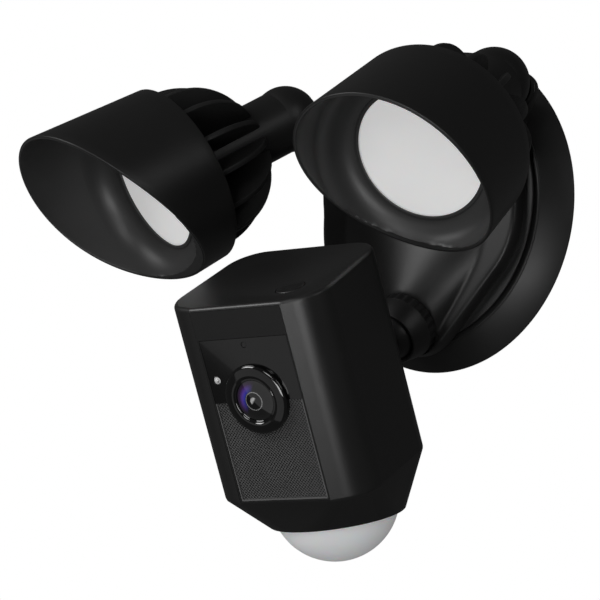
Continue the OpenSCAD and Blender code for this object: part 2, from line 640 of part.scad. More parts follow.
mounting_bracket();
bracket_screws();
wall_gasket();
rear_housing();
front_cover();
cover_screws();
driver_board();
power_module();
terminal_block();
siren();
camera_socket();
clamp_ring();
ball_shoe();
ball_stem();
turret(LEFT);  // left_turret
turret(RIGHT);  // right_turret
knuckle_pin(LEFT);  // left_knuckle_pin
knuckle_pin(RIGHT);  // right_knuckle_pin
arm(LEFT);  // left_arm
arm(RIGHT);  // right_arm
retaining_nut(LEFT);  // left_retaining_nut
retaining_nut(RIGHT);  // right_retaining_nut
heat_sink(LEFT);  // left_heat_sink
heat_sink(RIGHT);  // right_heat_sink
hood(LEFT);  // left_hood
hood(RIGHT);  // right_hood
led_board(LEFT);  // left_led_board
led_board(RIGHT);  // right_led_board
reflector(LEFT);  // left_reflector
reflector(RIGHT);  // right_reflector
lens_gasket(LEFT);  // left_lens_gasket
lens_gasket(RIGHT);  // right_lens_gasket
lens(LEFT);  // left_lens
lens(RIGHT);  // right_lens
bezel(LEFT);  // left_bezel
bezel(RIGHT);  // right_bezel
bezel_screws(LEFT);  // left_bezel_screws
bezel_screws(RIGHT);  // right_bezel_screws
head_shell();
face_plate();
lens_window();
speaker_grille();
eye_housing();
eye_lens();
lens_barrel();
window_led();
light_sensor();
main_board();
speaker();
stem_nut();
setup_button();
button_switch();
dome_ring();
motion_dome();
motion_board();
motion_sensors();
head_screws();
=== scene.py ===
"""Wall floodlight with two aimable lamps and a camera head: its finished look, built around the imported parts."""
import json
import math

import bmesh
import bpy
from mathutils import Matrix, Vector


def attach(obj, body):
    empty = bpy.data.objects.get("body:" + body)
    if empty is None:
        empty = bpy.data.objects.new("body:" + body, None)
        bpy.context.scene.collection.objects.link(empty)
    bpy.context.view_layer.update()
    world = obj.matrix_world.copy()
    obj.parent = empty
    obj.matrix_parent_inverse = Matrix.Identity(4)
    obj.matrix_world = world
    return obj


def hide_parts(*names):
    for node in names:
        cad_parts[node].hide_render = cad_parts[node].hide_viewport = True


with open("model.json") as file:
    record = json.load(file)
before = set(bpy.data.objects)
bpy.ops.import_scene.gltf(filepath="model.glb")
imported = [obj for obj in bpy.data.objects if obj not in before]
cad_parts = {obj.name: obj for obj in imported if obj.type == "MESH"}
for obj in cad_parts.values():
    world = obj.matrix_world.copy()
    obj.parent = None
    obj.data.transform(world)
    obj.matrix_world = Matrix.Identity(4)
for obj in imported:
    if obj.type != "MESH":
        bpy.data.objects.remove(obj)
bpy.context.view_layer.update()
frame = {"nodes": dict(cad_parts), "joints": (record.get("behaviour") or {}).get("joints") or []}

JOINTS = {joint["name"]: joint for joint in frame["joints"]}
SIDES = ("left", "right")


# ---- Placing ----

def placement(x, y, z, origin):
    """Puts millimetres along these three axes, from an origin in metres."""
    turn = Matrix((x, y, z)).transposed().to_4x4()
    return Matrix.Translation(origin) @ turn @ Matrix.Scale(0.001, 4)


def lamp_place(side, roll):
    """Lamp frame: the lamp's axis is Z, its long side is +Y, and the pivot is the origin."""
    out = Vector(JOINTS[side + "_spin"]["axis"])
    hinge = Vector(JOINTS[side + "_tilt"]["axis"])
    up = out.cross(hinge)
    c, s = math.cos(math.radians(roll)), math.sin(math.radians(roll))
    return placement(hinge * c - up * s, hinge * s + up * c, out, JOINTS[side + "_spin"]["pos_m"])


def head_place():
    """Head frame: X to the right, Y to the back, Z up, and the middle of the front panel is the origin."""
    x = Vector(JOINTS["head_tilt"]["axis"])
    y = -Vector(JOINTS["head_roll"]["axis"])
    z = x.cross(y)
    ball = Vector(JOINTS["head_tilt"]["pos_m"])
    return placement(x, y, z, ball - y * STEM_REACH / 1000 + z * BALL_RISE / 1000)


STEM_REACH, BALL_RISE = 117.7, 8.4
WALL = placement((1, 0, 0), (0, 0, 1), (0, -1, 0), (0, 0, 0))
LAMP = {"left": lamp_place("left", -54.6), "right": lamp_place("right", 39.8)}
HEAD = head_place()
BALL_POS = JOINTS["clamp_turn"]["pos_m"]
SOCKET_AXIS = Vector(JOINTS["clamp_turn"]["axis"])
SOCKET = placement((1, 0, 0), JOINTS["head_pan"]["axis"], SOCKET_AXIS, BALL_POS)
FACE_TURN = Matrix.Rotation(math.radians(90), 4, "X")


# ---- Shaping ----

def revolve(profile, steps=96):
    """Closed profile of (radius, height) turned round the Z axis."""
    bm = bmesh.new()
    verts = [bm.verts.new((r, 0, z)) for r, z in profile]
    edges = [bm.edges.new((a, b)) for a, b in zip(verts, verts[1:] + verts[:1])]
    bmesh.ops.spin(bm, geom=verts + edges, axis=(0, 0, 1), angle=2 * math.pi, steps=steps, use_merge=True)
    bmesh.ops.remove_doubles(bm, verts=bm.verts, dist=0.001)
    bmesh.ops.dissolve_degenerate(bm, dist=0.0005, edges=bm.edges)
    bmesh.ops.recalc_face_normals(bm, faces=bm.faces)
    return bm


def arc(centre, radius, start, end, steps=8):
    """Points along an arc, with its angles in degrees."""
    turns = [math.radians(start + (end - start) * i / steps) for i in range(steps + 1)]
    return [(centre[0] + radius * math.cos(t), centre[1] + radius * math.sin(t)) for t in turns]


def cylinder(radius, low, high, place=Matrix.Identity(4), steps=96, top=None):
    """Plain cylinder or cone between two heights."""
    bm = bmesh.new()
    bmesh.ops.create_cone(bm, cap_ends=True, segments=steps, radius1=radius,
                          radius2=radius if top is None else top, depth=high - low)
    bm.transform(place @ Matrix.Translation((0, 0, (low + high) / 2)))
    return bm


def block(low, high):
    """Box between two corners."""
    bm = bmesh.new()
    bmesh.ops.create_cube(bm, size=1)
    low, high = Vector(low), Vector(high)
    bmesh.ops.scale(bm, verts=bm.verts, vec=high - low)
    bmesh.ops.translate(bm, verts=bm.verts, vec=(low + high) / 2)
    return bm


def wrap(points):
    """Convex skin round points."""
    bm = bmesh.new()
    for p in points:
        bm.verts.new(p)
    hull = bmesh.ops.convex_hull(bm, input=bm.verts)
    bmesh.ops.delete(bm, geom=[v for v in hull["geom_interior"] if isinstance(v, bmesh.types.BMVert)],
                     context="VERTS")
    bmesh.ops.dissolve_limit(bm, angle_limit=math.radians(0.3), verts=bm.verts, edges=bm.edges)
    bmesh.ops.recalc_face_normals(bm, faces=bm.faces)
    return bm


def join(*parts):
    """One bmesh from several."""
    whole = bmesh.new()
    for part in parts:
        mesh = bpy.data.meshes.new("joined")
        part.to_mesh(mesh)
        part.free()
        whole.from_mesh(mesh)
        bpy.data.meshes.remove(mesh)
    return whole


def scratch(bm):
    """Object that lives only while a modifier works on it."""
    mesh = bpy.data.meshes.new("scratch")
    bm.to_mesh(mesh)
    bm.free()
    obj = bpy.data.objects.new("scratch", mesh)
    bpy.context.collection.objects.link(obj)
    return obj


def settle(obj, *helpers):
    """The object's mesh with its modifiers applied, as a bmesh."""
    bm = bmesh.new()
    bm.from_object(obj, bpy.context.evaluated_depsgraph_get())
    for used in (obj, *helpers):
        mesh = used.data
        bpy.data.objects.remove(used)
        bpy.data.meshes.remove(mesh)
    return bm


def face_outwards(bm):
    """Turns the faces of a closed shape outwards."""
    bmesh.ops.recalc_face_normals(bm, faces=bm.faces)
    if bm.calc_volume(signed=True) < 0:
        bmesh.ops.reverse_faces(bm, faces=bm.faces)
    return bm


def cut(bm, *cutters):
    """The shape with the cutters taken out of it."""
    obj, tools = scratch(bm), [scratch(cutter) for cutter in cutters]
    for tool in tools:
        boolean = obj.modifiers.new("cut", "BOOLEAN")
        boolean.operation, boolean.solver, boolean.object = "DIFFERENCE", "EXACT", tool
    return face_outwards(settle(obj, *tools))


def melt(bm, grain, passes):
    """Overlapping solids run together into one skin with soft creases."""
    obj = scratch(bm)
    remesh = obj.modifiers.new("melt", "REMESH")
    remesh.mode, remesh.voxel_size, remesh.use_smooth_shade = "VOXEL", grain, True
    fused = settle(obj)
    for _ in range(passes):
        bmesh.ops.smooth_vert(fused, verts=fused.verts, factor=0.5,
                              use_axis_x=True, use_axis_y=True, use_axis_z=True)
    return fused


def soften(bm, width, least, segments=2, choose=None):
    """Rounds the edges that turn by more than an angle in degrees."""
    limit = math.radians(least)
    edges = [e for e in bm.edges if len(e.link_faces) == 2 and e.calc_face_angle(0) > limit
             and (choose is None or choose(e))]
    bmesh.ops.bevel(bm, geom=edges, offset=width, offset_type="OFFSET", affect="EDGES", segments=segments,
                    profile=0.5, material=-1, clamp_overlap=True)
    return bm


def mark_painted_edge_light(mesh):
    """Writes how exposed each corner is, for the finish to paint a lighter edge there as a painted edge highlight."""
    bm = bmesh.new()
    bm.from_mesh(mesh)
    wear = [max([e.calc_face_angle_signed(0) for e in v.link_edges if len(e.link_faces) == 2] or [0])
            for v in bm.verts]
    bm.free()
    layer = mesh.attributes.new("wear", "FLOAT", "POINT")
    layer.data.foreach_set("value", [min(1.0, max(0.0, w / 0.8)) for w in wear])


def piece(name, bm, place, body, slot, nodes=(), crease=32):
    """Finished piece in its place, riding on its body and wearing its slot's finish."""
    bm.transform(place)
    mesh = bpy.data.meshes.new(name)
    bm.to_mesh(mesh)
    bm.free()
    mesh.shade_smooth()
    mesh.set_sharp_from_angle(angle=math.radians(crease))
    mark_painted_edge_light(mesh)
    mesh.materials.append(FINISH[slot])
    obj = bpy.data.objects.new(name, mesh)
    bpy.context.collection.objects.link(obj)
    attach(obj, body)
    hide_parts(*nodes)
    return obj


# ---- Finishes ----

class Value:
    """A number in a material's nodes. Arithmetic on it adds Math nodes."""

    def __init__(self, finish, socket):
        self.finish, self.socket = finish, socket

    def output(self, index):
        """Another output of the same node."""
        return Value(self.finish, self.socket.node.outputs[index])

    def maths(self, operation, first, second):
        return self.finish.node("ShaderNodeMath", {"operation": operation}, {0: first, 1: second})

    def __add__(self, other):
        return self.maths("ADD", self, other)

    def __sub__(self, other):
        return self.maths("SUBTRACT", self, other)

    def __rsub__(self, other):
        return self.maths("SUBTRACT", other, self)

    def __mul__(self, other):
        return self.maths("MULTIPLY", self, other)

    __radd__, __rmul__ = __add__, __mul__


class Finish:
    """One material and the nodes that make it."""

    def __init__(self, name, **fixed):
        self.material = bpy.data.materials.new(name)
        self.material.use_nodes = True
        self.tree = self.material.node_tree
        self.shader = self.tree.nodes["Principled BSDF"]
        for socket, value in fixed.items():
            self.shader.inputs[socket.replace("_", " ")].default_value = value

    def node(self, kind, settings, sockets, out=0):
        made = self.tree.nodes.new(kind)
        for key, value in settings.items():
            if key == "stops":
                self.set_stops(made.color_ramp, value)
            else:
                setattr(made, key, value)
        for key, value in sockets.items():
            self.feed(made.inputs[key], value)
        return Value(self, made.outputs[out])

    def set_stops(self, ramp, stops):
        ramp.elements[0].position, ramp.elements[-1].position = stops[0][0], stops[-1][0]
        for position, _ in stops[1:-1]:
            ramp.elements.new(position)
        for element, (_, shade) in zip(ramp.elements, stops):
            element.color = shade

    def feed(self, socket, value):
        if isinstance(value, Value):
            self.tree.links.new(value.socket, socket)
        else:
            socket.default_value = value

    def set(self, **sockets):
        for name, value in sockets.items():
            self.feed(self.shader.inputs[name.replace("_", " ")], value)

    def place(self):
        return self.node("ShaderNodeTexCoord", {}, {}, "Object")

    def local(self, placed):
        """Object coordinates in the frame of a placement, in metres."""
        spot, turn, _ = placed.decompose()
        return self.node("ShaderNodeMapping", {"vector_type": "TEXTURE"},
                         {"Vector": self.place(), "Location": spot, "Rotation": turn.to_euler()})

    def noise(self, scale, detail=2.0, rough=0.5):
        return self.node("ShaderNodeTexNoise", {},
                         {"Vector": self.place(), "Scale": scale, "Detail": detail, "Roughness": rough})

    def cells(self, scale):
        return self.node("ShaderNodeTexVoronoi", {"feature": "SMOOTH_F1"},
                         {"Vector": self.place(), "Scale": scale, "Smoothness": 0.6})

    def attribute(self, name):
        return self.node("ShaderNodeAttribute", {"attribute_name": name}, {}, "Fac")

    def blend(self, share, first, second):
        return self.node("ShaderNodeMix", {"data_type": "RGBA"}, {0: share, 6: first, 7: second}, 2)

    def ramp(self, value, *stops):
        return self.node("ShaderNodeValToRGB", {"stops": stops}, {0: value})

    def bump(self, height, strength, depth):
        return self.node("ShaderNodeBump", {}, {"Height": height, "Strength": strength, "Distance": depth})


def grey(level, warmth=0.0):
    return (level * (1 + warmth), level, level * (1 - warmth), 1.0)


def moulded(name, tone, rough, spark=1700.0, relief=0.35):
    """Spark-eroded moulded plastic: fine even texture, faint flow clouds, sharp edges lightened as a painted edge
    highlight, and the marked inner faces of a lamp painted paler as painted light from the lens.
    """
    f = Finish(name, IOR=1.5)
    clouds, fine = f.noise(34.0, 3.0), f.noise(spark, 2.0, 0.6)
    body = f.blend(clouds, grey(tone * 0.82), grey(tone * 1.2, 0.02))
    speckled = f.blend(fine * 0.35, body, grey(tone * 1.9))
    # The marked inner faces of a lamp blend to a much paler grey: painted light from the glowing lens.
    speckled = f.blend(f.attribute("inside"), speckled, f.blend(clouds, grey(tone * 5.0), grey(tone * 6.5)))
    # Sharp edges blend toward a paler grey: a painted edge highlight.
    f.set(Base_Color=f.blend(f.attribute("wear") * 0.4, speckled, grey(tone * 3.2)),
          Roughness=clouds * 0.1 + fine * 0.12 + (rough - 0.11),
          Normal=f.bump(fine, relief, 0.00006))
    return f.material


def powder_coat(name, tone, rough):
    """Powder-coated cast aluminium: orange peel over a fine grain."""
    f = Finish(name, IOR=1.48)
    peel, grain, clouds = f.cells(520.0), f.noise(2400.0, 2.0), f.noise(26.0, 2.0)
    body = f.blend(clouds, grey(tone * 0.8), grey(tone * 1.25))
    # Sharp edges blend toward a paler grey: a painted edge highlight.
    f.set(Base_Color=f.blend(f.attribute("wear") * 0.5, body, grey(tone * 3.5)),
          Roughness=peel * 0.14 + grain * 0.08 + (rough - 0.1),
          Normal=f.bump(peel + grain * 0.3, 0.3, 0.0001))
    return f.material


def gloss_black(name):
    """Polished window moulding with faint wiping haze."""
    f = Finish(name, IOR=1.52, Coat_Weight=0.6, Coat_Roughness=0.02)
    haze, dust = f.noise(48.0, 4.0, 0.6), f.noise(900.0, 2.0)
    f.set(Base_Color=f.blend(haze, grey(0.0022), grey(0.0042)),
          Roughness=haze * 0.05 + dust * 0.03 + 0.03,
          Normal=f.bump(haze, 0.05, 0.0001))
    return f.material


def painted_metal(name, tone):
    """Perforated sheet under satin paint."""
    f = Finish(name, Metallic=0.0, IOR=1.5)
    paint, clouds = f.noise(3000.0, 2.0), f.noise(40.0)
    f.set(Base_Color=f.blend(clouds, grey(tone * 0.85), grey(tone * 1.2)),
          Roughness=paint * 0.16 + 0.3, Normal=f.bump(paint, 0.25, 0.00004))
    return f.material


def opal(name):
    """Opal diffuser: milky, a little uneven, glowing softly from inside."""
    f = Finish(name, IOR=1.49, Subsurface_Weight=0.15, Subsurface_Scale=0.004, Emission_Strength=0.42)
    milk, orange = f.noise(30.0, 3.0), f.noise(420.0, 2.0)
    shade = f.blend(milk, grey(0.74), grey(0.82, 0.006))
    f.set(Base_Color=shade, Emission_Color=shade, Roughness=milk * 0.1 + orange * 0.08 + 0.3,
          Normal=f.bump(orange, 0.12, 0.0001))
    return f.material


def frosted_dome(name):
    """Frosted infrared window: pale, cool and cloudy, with a painted glow from a faint emission though it is no lamp.
    """
    f = Finish(name, IOR=1.5, Subsurface_Weight=0.3, Subsurface_Scale=0.003, Emission_Strength=0.2)
    cloud, frost = f.noise(40.0, 3.0), f.noise(1600.0, 2.0)
    pale = f.blend(cloud, (0.83, 0.84, 0.86, 1), (0.89, 0.90, 0.91, 1))
    # The pale tone is also fed to the emission: a painted glow.
    f.set(Base_Color=pale, Emission_Color=pale,
          Roughness=cloud * 0.08 + frost * 0.1 + 0.26, Normal=f.bump(frost, 0.15, 0.00004))
    return f.material


def coated_glass(name):
    """Coated camera glass: black pupil with a painted glint, thin bright stop ring, and a painted violet-blue
    reflection of the coating on one side.
    """
    f = Finish(name, IOR=1.6, Coat_Weight=1.0, Coat_Roughness=0.01)
    spot = f.local(EYE)
    parts = f.node("ShaderNodeSeparateXYZ", {}, {"Vector": spot})
    across, up = parts, parts.output(1)
    flat = f.node("ShaderNodeCombineXYZ", {}, {"X": across, "Y": up})
    out = f.node("ShaderNodeVectorMath", {"operation": "LENGTH"}, {0: flat}, "Value") * 105.0
    black, clear = grey(0.0012), grey(0.006)
    # The pale stops at the centre are a painted glint; the thin pale band further out is the stop ring.
    rings = f.ramp(out, (0.0, grey(0.55)), (0.17, grey(0.5)), (0.2, black), (0.41, black), (0.42, grey(0.3)),
                   (0.45, grey(0.3)), (0.46, clear), (0.7, clear), (1.0, grey(0.012)))
    # A straight edge cuts the painted glint so that part of it stays black.
    glint = f.node("ShaderNodeClamp", {}, {"Value": (up * 0.9 - across) * 900.0 + 0.35})
    pupil = f.blend(glint, black, rings)
    # Violet-blue painted reflection of the coating, laid on one side of the glass.
    painted_coating_reflection = f.ramp(out, (0.0, black), (0.45, black), (0.5, (0.05, 0.07, 0.75, 1)), (0.66, (0.14, 0.06, 0.5, 1)),
                  (0.82, (0.05, 0.01, 0.09, 1)), (1.0, black))
    # Mask for the side of the glass that carries the painted reflection.
    side = f.node("ShaderNodeClamp", {}, {"Value": (up * 0.5 - across) * 240.0 - 0.5})
    inner = f.node("ShaderNodeMath", {"operation": "LESS_THAN"}, {0: out, 1: 0.3})
    rings_with_painted_reflection = f.blend(side, rings, f.blend(0.6, rings, painted_coating_reflection))
    haze = f.noise(90.0, 3.0)
    f.set(Base_Color=f.blend(inner, rings_with_painted_reflection, pupil), Roughness=haze * 0.05 + 0.03,
          Normal=f.bump(haze, 0.04, 0.00005))
    return f.material


def soft_rubber(name):
    f = Finish(name, IOR=1.5)
    bloom, skin = f.noise(60.0, 4.0), f.noise(1500.0)
    f.set(Base_Color=f.blend(bloom, grey(0.008), grey(0.02)), Roughness=bloom * 0.15 + 0.65,
          Normal=f.bump(skin, 0.3, 0.00008))
    return f.material


def turned_steel(name):
    f = Finish(name, Metallic=1.0)
    zinc, lines = f.noise(220.0, 3.0), f.noise(1900.0, 1.0)
    f.set(Base_Color=f.blend(zinc, (0.42, 0.42, 0.43, 1), (0.62, 0.61, 0.58, 1)),
          Roughness=zinc * 0.18 + lines * 0.08 + 0.2, Normal=f.bump(lines, 0.2, 0.00004))
    return f.material


def circuit_board(name):
    """Green solder mask over copper tracks."""
    f = Finish(name, IOR=1.5)
    tracks = f.node("ShaderNodeTexBrick", {"offset": 0.37},
                    {"Vector": f.place(), "Scale": 160.0, "Color1": grey(1.0), "Color2": grey(0.6),
                     "Mortar": grey(0.0), "Mortar Size": 0.06})
    weave = f.noise(500.0)
    f.set(Base_Color=f.blend(tracks, (0.01, 0.07, 0.03, 1), (0.02, 0.12, 0.05, 1)),
          Roughness=weave * 0.15 + 0.3, Normal=f.bump(weave, 0.15, 0.00005))
    return f.material


def plain_moulding(name, low, high, rough, metal=0.0):
    """Small moulding or component: mottled colour and a light surface grain."""
    f = Finish(name, IOR=1.5, Metallic=metal)
    mottle, grain = f.noise(120.0, 3.0), f.noise(1800.0)
    f.set(Base_Color=f.blend(mottle, low, high), Roughness=mottle * 0.1 + grain * 0.1 + (rough - 0.1),
          Normal=f.bump(grain, 0.2, 0.00005))
    return f.material


def pale_floor(name):
    """Even, softly lit studio floor."""
    f = Finish(name, Emission_Strength=0.62)
    tone = f.blend(f.noise(3.0), grey(0.84), grey(0.87))
    f.set(Base_Color=tone, Emission_Color=tone, Roughness=f.noise(9.0) * 0.1 + 0.7)
    return f.material


def make_finishes():
    return {
        "base_plastic": moulded("base_moulding", 0.0075, 0.46),
        "cover_plastic": moulded("cover_moulding", 0.0085, 0.44),
        "lamp_plastic": moulded("lamp_moulding", 0.0065, 0.42),
        "head_plastic": moulded("head_moulding", 0.008, 0.40),
        "cast_aluminium": powder_coat("coated_casting", 0.0075, 0.5),
        "gloss_window": gloss_black("polished_window"),
        "grille": painted_metal("painted_mesh", 0.11),
        "lens_white": opal("opal_diffuser"),
        "dome_white": frosted_dome("frosted_dome"),
        "eye_glass": coated_glass("coated_glass"),
        "rubber": soft_rubber("seal_rubber"),
        "steel": turned_steel("plated_steel"),
        "circuit_board": circuit_board("board_laminate"),
        "component": plain_moulding("dark_component", grey(0.012), grey(0.03), 0.5),
        "reflector_white": plain_moulding("reflector_shell", grey(0.7), grey(0.82), 0.35),
        "nylon": plain_moulding("nylon_liner", grey(0.03), grey(0.06), 0.55),
        "led_clear": plain_moulding("clear_led", grey(0.6), grey(0.85), 0.2),
        "terminal_green": plain_moulding("terminal_green", (0.01, 0.09, 0.03, 1), (0.02, 0.14, 0.05, 1), 0.45),
    }


# ---- Base ----

SHIELD_CIRCLES = (((-44.4, 37.5), 18), ((44.4, 37.5), 18), ((-22, -8), 38), ((22, -8), 38), ((0, -46.5), 26))
POSTS = [Matrix.Rotation(math.radians(a), 4, "Z") @ Matrix.Translation((46, 0, 0)) for a in (45, 135, 225, 315)]
PIVOTS = [Matrix.Translation((s * 65.4, 47.5, 0)) for s in (-1, 1)]
INTO_WALL = WALL.inverted() @ SOCKET


def ring_points(circle, height, inset=0.0, steps=72):
    (x, y), r = circle
    return [Vector((x + (r - inset) * math.cos(t), y + (r - inset) * math.sin(t), height))
            for t in (2 * math.pi * i / steps for i in range(steps))]


def shield_block(low, high, inset=0.0, edge=0.0):
    """Shield-shaped plate with a rounded front edge."""
    points = []
    for circle in SHIELD_CIRCLES:
        points += ring_points(circle, low, inset) + ring_points(circle, high - edge, inset)
        for x, z in arc((0, 0), edge, 30, 90, 2) if edge else ():
            points += ring_points(circle, high - edge + z, inset + edge - x)
    return wrap(points)


def shoulder(s):
    """Neck that carries one lamp knuckle out past the shield."""
    tip, root = ((s * 65.4, 47.5), 8.8), ((s * 45.4, 33.5), 13)
    return wrap(ring_points(tip, 24.5) + ring_points(tip, 18.6, 1.8) + ring_points(root, 14.7)
                + ring_points(root, 21.4, 0.4) + ring_points(root, 20.4))


def chin_mound():
    """Mound that carries the slanted seat of the ball joint."""
    seat = [INTO_WALL @ p for p in ring_points(((0, 0), 16.2), -12.0) + ring_points(((0, 0), 15.6), -11.0)]
    low = ring_points(((0, -6), 46), 21.6) + ring_points(((0, -44.5), 22), 19)
    return wrap(seat + low + ring_points(((0, -6), 45), 15) + ring_points(((0, -44.5), 21), 15))


def make_base():
    rim = [(78.5, 0.0), (78.42, 0.7), (68.1, 12.1)] + arc((67.0, 12.0), 0.7, 20, 90, 4)
    rim += [(64.9, 12.7), (64.3, 12.4), (70.3, 5.5), (16.3, 5.4), (16, 5.0), (16, 3.2), (16.3, 3.0), (72.8, 3.0),
            (73, 2.8), (73, 0.0)]
    housing = cut(revolve(rim, 160), cylinder(14.9, -45, 45, INTO_WALL),
                  *[cylinder(2.3, 0, 8, Matrix.Translation((s * 22, 0, 0)), 32) for s in (-1, 1)],
                  *[cylinder(2, 0, 8, post, 32) for post in POSTS])
    piece("rear_housing", housing, WALL, "base", "base_plastic", ["rear_housing"])

    disc = revolve([(65.4, 14.2), (65.4, 14.7)] + arc((65.0, 14.7), 0.4, 0, 90, 4) + [
        (52, 15.1), (52, 10.7), (63.2, 10.7), (63.4, 10.9), (63.4, 13.9), (65.1, 13.9)], 160)
    disc = cut(disc, cylinder(14.75, -45, 45, INTO_WALL))
    posts = [cut(cylinder(4.5, 5.55, 15.1, post, 40), cylinder(1.5, 0, 14, post, 24)) for post in POSTS]
    piece("front_cover_disc", join(disc, *posts), WALL, "base", "cover_plastic", ["front_cover"])

    body = melt(join(shield_block(13.9, 22, 0, 1.6), chin_mound(), shoulder(-1), shoulder(1)), 0.75, 14)
    bores = [cylinder(5.55, 19.95, 25, pivot, 64) for pivot in PIVOTS]
    seats = [cylinder(9.6, 24.5, 45, pivot, 64) for pivot in PIVOTS]
    body = cut(body, shield_block(10, 19.6, 2.4), cylinder(14.75, -45, 45, INTO_WALL),
               cylinder(17.2, -10.95, 50, INTO_WALL), *bores, *seats)
    piece("front_cover_shield", body, WALL, "base", "cover_plastic", ["front_cover"], 40)


# ---- Ball joint ----

def make_clamp_ring():
    """Hand ring with scallops round its grip, closing on the ball."""
    profile = [(15.0, -10.5), (15.8, -10.6)] + arc((15.7, -10.0), 0.5, -90, 0, 4) + [
        (16.2, -7.8), (16.2, -5.8)] + arc((15.8, -5.4), 0.4, 0, 90, 3) + [
        (16.3, -4.9), (16.1, -4.0), (13.6, 4.0), (13.2, 4.6)] + arc((12.9, 4.3), 0.4, 30, 120, 3) + [
        (11.9, 4.2), (11.4, 3.4)] + arc((0, 0), 12.36, 20, -20, 8)[2:] + [(12.0, -4.45), (15.0, -4.45)]
    bm = revolve(profile, 192)
    for v in bm.verts:
        out = math.hypot(v.co.x, v.co.y)
        if -10.7 < v.co.z < -5.3 and out > 15.4:
            dip = 0.35 * (1 - math.cos(24 * math.atan2(v.co.y, v.co.x))) * (out - 15.4) / 0.8
            v.co.xy *= 1 - dip / out
    return bm


def make_ball_joint():
    piece("clamp_ring", make_clamp_ring(), SOCKET, "clamp_ring", "base_plastic", ["clamp_ring"])
    # Stem profile runs along the head's depth from the back of the ball to the spigot in the head
    stem = [(0, -12.0)] + arc((0, 0), 12, -86, 62, 30)
    stem += [(5.0, 11.2), (4.55, 12.4), (4.5, 14), (4.5, 29)] + [(4.9, 33.5), (5.9, 37.6), (7.6, 41.6), (9.4, 44.6)]
    stem += [(10.0, 46.2), (10.0, 47.2), (9.6, 47.6), (5.0, 47.64), (5.0, 56.3), (4.6, 56.6), (0, 56.6)]
    turn = HEAD @ Matrix.Translation((0, STEM_REACH, -BALL_RISE)) @ FACE_TURN
    piece("ball_stem", revolve(stem), turn, "ball_stem", "base_plastic", ["ball_stem"])


# ---- Lamps ----

REACH, HOOD_R, HOOD_FLARE, HOOD_WALL = 63.7, 45.0, 2.7 / 50, 1.8
HOOD_ROWS = 10
LENS_Z = REACH + 15.4
BLADES, BLADE_THICK = 14, 2.8
EDGE_Y, EDGE_Z, EDGE_R = 108.74, -187.6, 257.1


def hood_length(y):
    """Length of the hood at a distance y across it, along its slanted edge."""
    return EDGE_Z + math.sqrt(EDGE_R ** 2 - (y - EDGE_Y) ** 2)


def make_hood():
    """Flared sleeve cut on a curved slant, with a rolled lip."""
    bm = bmesh.new()
    bmesh.ops.create_circle(bm, cap_ends=False, radius=HOOD_R, segments=180)
    bmesh.ops.translate(bm, verts=bm.verts, vec=(0, 0, REACH))
    rows, edges = [list(bm.verts)], list(bm.edges)
    for _ in range(HOOD_ROWS):
        grown = bmesh.ops.extrude_edge_only(bm, edges=edges)["geom"]
        edges = [g for g in grown if isinstance(g, bmesh.types.BMEdge)]
        edges = [e for e in edges if all(v in grown for v in e.verts)]
        rows.append([g for g in grown if isinstance(g, bmesh.types.BMVert)])
    for step, row in enumerate(rows):
        for v in row:
            turn, share = math.atan2(v.co.y, v.co.x), step / HOOD_ROWS
            length = hood_length(HOOD_R * math.sin(turn))
            for _ in range(3):
                length = hood_length((HOOD_R + HOOD_FLARE * length) * math.sin(turn))
            radius = HOOD_R + HOOD_FLARE * length * share
            v.co = (radius * math.cos(turn), radius * math.sin(turn), REACH + length * share)
    bmesh.ops.recalc_face_normals(bm, faces=bm.faces)
    for f in bm.faces:
        if f.normal.dot(Vector((f.calc_center_median().x, f.calc_center_median().y, 0))) < 0:
            f.normal_flip()
    bmesh.ops.solidify(bm, geom=bm.faces[:], thickness=HOOD_WALL)
    soften(bm, 0.5, 50, 3)
    # The inner faces of the hood are marked for the painted lens light.
    return mark_painted_lens_light(bm, lambda v: math.hypot(v.co.x, v.co.y) < HOOD_R + HOOD_FLARE * (v.co.z - REACH) - 0.9)


def mark_painted_lens_light(bm, inner):
    """Marks the inner face of a lamp, which the finish paints paler than its outside as painted light from the lens.
    """
    layer = bm.verts.layers.float.new("inside")
    for v in bm.verts:
        v[layer] = 1.0 if inner(v) else 0.0
    return bm


def make_fins():
    """Blades in a round-backed envelope, on a plate and hub."""
    blade = bmesh.new()
    outline = [(16.2, 22.1)] + [(40.5 * math.sin(t), 59.2 - 40.5 * math.cos(t)) for t in
                                (math.radians(26 + 64 * i / 14) for i in range(15))] + [(40.5, 62.9), (16.2, 62.9)]
    face = blade.faces.new([blade.verts.new((r, -BLADE_THICK / 2, z)) for r, z in outline])
    grown = bmesh.ops.extrude_face_region(blade, geom=[face])["geom"]
    bmesh.ops.translate(blade, verts=[g for g in grown if isinstance(g, bmesh.types.BMVert)], vec=(0, BLADE_THICK, 0))
    bmesh.ops.recalc_face_normals(blade, faces=blade.faces)
    soften(blade, 0.6, 60, 2)
    bmesh.ops.spin(blade, geom=blade.verts[:] + blade.edges[:] + blade.faces[:], axis=(0, 0, 1),
                   angle=2 * math.pi * (BLADES - 1) / BLADES, steps=BLADES - 1, use_duplicate=True)
    hub = revolve([(8.55, 54.1), (16.6, 54.1), (17.0, 54.5), (17.0, 62.2), (17.8, 62.7), (42.7, 62.7), (43.05, 63.1),
                   (43.05, 67.4), (42.7, 67.7), (12.0, 67.7), (12.0, 60.7), (8.55, 60.7)])
    return join(blade, hub)


